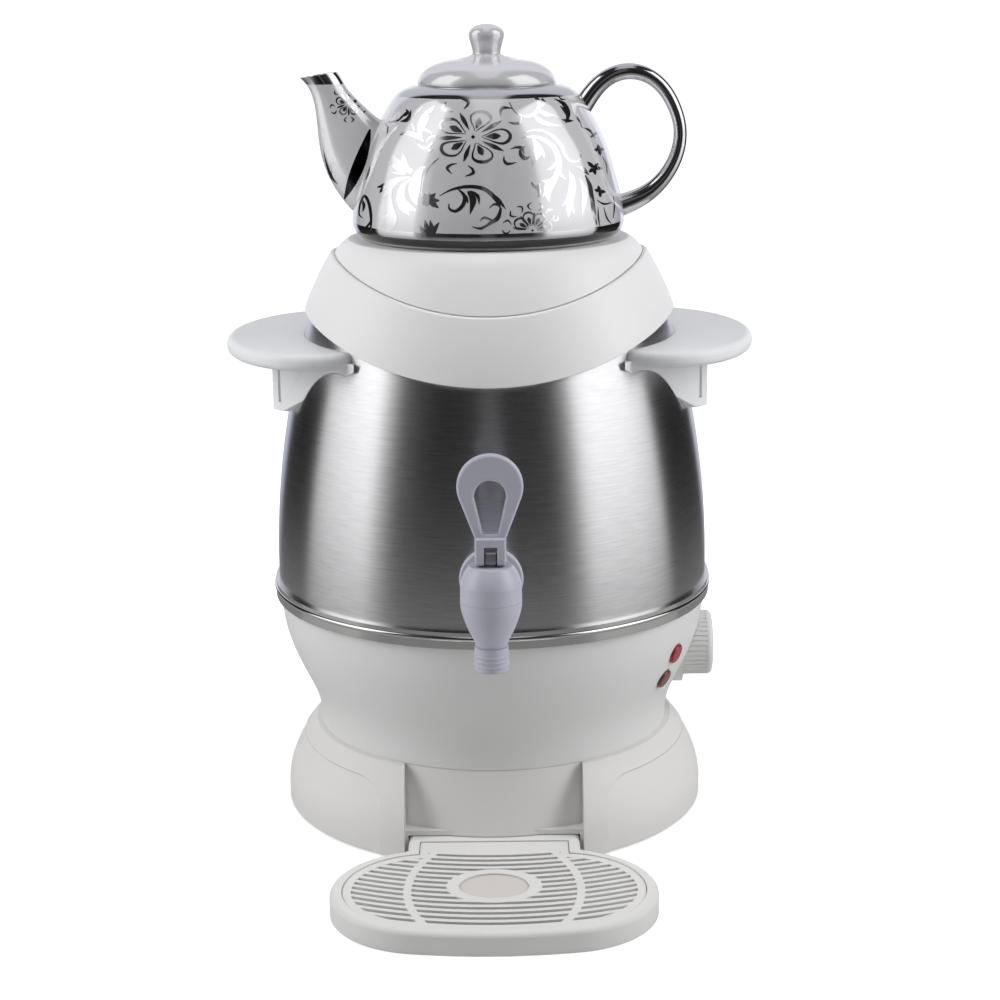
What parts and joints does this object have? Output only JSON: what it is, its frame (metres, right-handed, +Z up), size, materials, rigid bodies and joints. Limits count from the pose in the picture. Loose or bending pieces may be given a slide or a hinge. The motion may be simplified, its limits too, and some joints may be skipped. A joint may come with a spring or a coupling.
{
  "type": "samovar",
  "caption": "Electric samovar: a steel tank with a lever tap and drip tray on a moulded stand, side handles, a control knob, and a lid that keeps a porcelain teapot warm.",
  "frame": {"origin": "on the tank's axis, at the surface that the feet rest on", "axes": "+Z up along the tank's axis, -Y to the front where the tap is, +X to the right as seen from the front, where the knob is"},
  "size_m": [0.268, 0.3208, 0.402],
  "materials": {
    "stand_plastic": "fine matt moulded surface",
    "cover_plastic": "plain moulded surface",
    "housing_plastic": "satin moulded surface",
    "collar_plastic": "soft gloss moulded surface",
    "handle_plastic": "satin moulded surface",
    "tap_plastic": "soft gloss moulded surface",
    "tray_plastic": "fine matt moulded surface",
    "disc_plastic": "cloudy translucent surface",
    "red_lens": "clear red lens",
    "dark_lens": "dull red lens",
    "bulb_glass": "clear glass",
    "dark_plastic": "black heat-resisting plastic",
    "block_plastic": "plain moulded surface",
    "lead_plastic": "coloured insulation",
    "tank_steel": "brushed round the tank",
    "trim_chrome": "polished",
    "plain_steel": "plain steel",
    "brass": "plain brass",
    "heater_aluminium": "cast surface",
    "plate_aluminium": "satin sheet",
    "seal_rubber": "soft silicone",
    "foot_rubber": "matt rubber",
    "porcelain": "white glaze with silvery ornament",
    "silvered_porcelain": "mirror-like silvery glaze"
  },
  "bodies": {
    "samovar": {"base_stand": "stand_plastic", "bottom_cover": "cover_plastic", "rubber_feet": "foot_rubber", "cover_screws": "plain_steel", "housing_screws": "plain_steel", "lower_housing": "housing_plastic", "heating_lamp_lens": "red_lens", "warm_lamp_lens": "dark_lens", "heating_lamp_bulb": "bulb_glass", "warm_lamp_bulb": "bulb_glass", "thermostat_body": "dark_plastic", "thermostat_nut": "brass", "power_inlet": "dark_plastic", "inlet_pins": "brass", "terminal_block": "block_plastic", "terminal_screws": "brass", "tank": "tank_steel", "trim_ring": "trim_chrome", "tank_studs": "plain_steel", "stud_nuts": "plain_steel", "heater_plate": "heater_aluminium", "heating_element": "plain_steel", "element_terminals": "plain_steel", "thermal_cutout": "dark_plastic", "inner_leads": "lead_plastic", "left_handle": "handle_plastic", "right_handle": "handle_plastic", "handle_screws": "plain_steel", "handle_washers": "seal_rubber", "top_collar": "collar_plastic", "rim_seal": "seal_rubber", "collar_lugs": "plain_steel", "collar_screws": "plain_steel", "tap_body": "tap_plastic", "tap_nozzle": "tap_plastic", "tap_bonnet": "tap_plastic", "tap_spring": "plain_steel", "shank_washer": "seal_rubber", "nut_washer": "seal_rubber", "tap_nut": "tap_plastic"},
    "knob": {"control_knob": "housing_plastic", "thermostat_shaft": "heater_aluminium"},
    "tap_stem": {"tap_stem": "plain_steel", "seat_cup": "seal_rubber"},
    "tap_lever": {"tap_lever": "tap_plastic", "lever_pin": "plain_steel"},
    "drip_tray": {"drip_tray": "tray_plastic"},
    "drip_grille": {"drip_grille": "tray_plastic", "grille_disc": "disc_plastic"},
    "tank_lid": {"tank_lid": "collar_plastic", "lid_seal": "seal_rubber", "steam_plate": "plate_aluminium"},
    "teapot": {"teapot_body": "porcelain", "teapot_spout": "porcelain", "teapot_handle": "silvered_porcelain"},
    "teapot_lid": {"teapot_lid": "silvered_porcelain"}
  },
  "joints": [
    {"name": "knob_turn", "type": "hinge", "parent": "samovar", "child": "knob", "pos_m": [0.108, 0, 0.08], "axis": [-1, 0, 0], "range_deg": [0, 270]},
    {"name": "stem_lift", "type": "slide", "parent": "samovar", "child": "tap_stem", "axis": [0, 0, 1], "range_m": [0, 0.00196], "deforming": ["tap_spring"]},
    {"name": "lever_tilt", "type": "hinge", "parent": "tap_stem", "child": "tap_lever", "pos_m": [0, -0.154, 0.1736], "axis": [1, 0, 0], "range_deg": [0, 45], "stiffness_Nm_per_rad": 0.05, "springref_deg": -17.19},
    {"name": "tray_pull", "type": "slide", "parent": "samovar", "child": "drip_tray", "axis": [0, -1, 0], "range_m": [0, 0.06]},
    {"name": "grille_lift", "type": "slide", "parent": "drip_tray", "child": "drip_grille", "axis": [0, 0, 1], "range_m": [0, 0.04]},
    {"name": "lid_lift", "type": "slide", "parent": "samovar", "child": "tank_lid", "axis": [0, 0, 1], "range_m": [0, 0.06]},
    {"name": "teapot_lift", "type": "slide", "parent": "tank_lid", "child": "teapot", "axis": [0, 0, 1], "range_m": [0, 0.06]},
    {"name": "teapot_lid_lift", "type": "slide", "parent": "teapot", "child": "teapot_lid", "axis": [0, 0, 1], "range_m": [0, 0.04]}
  ],
  "couplings": [
    {"joint": "lever_tilt", "follows": "stem_lift", "rad_per_m": 400}
  ]
}
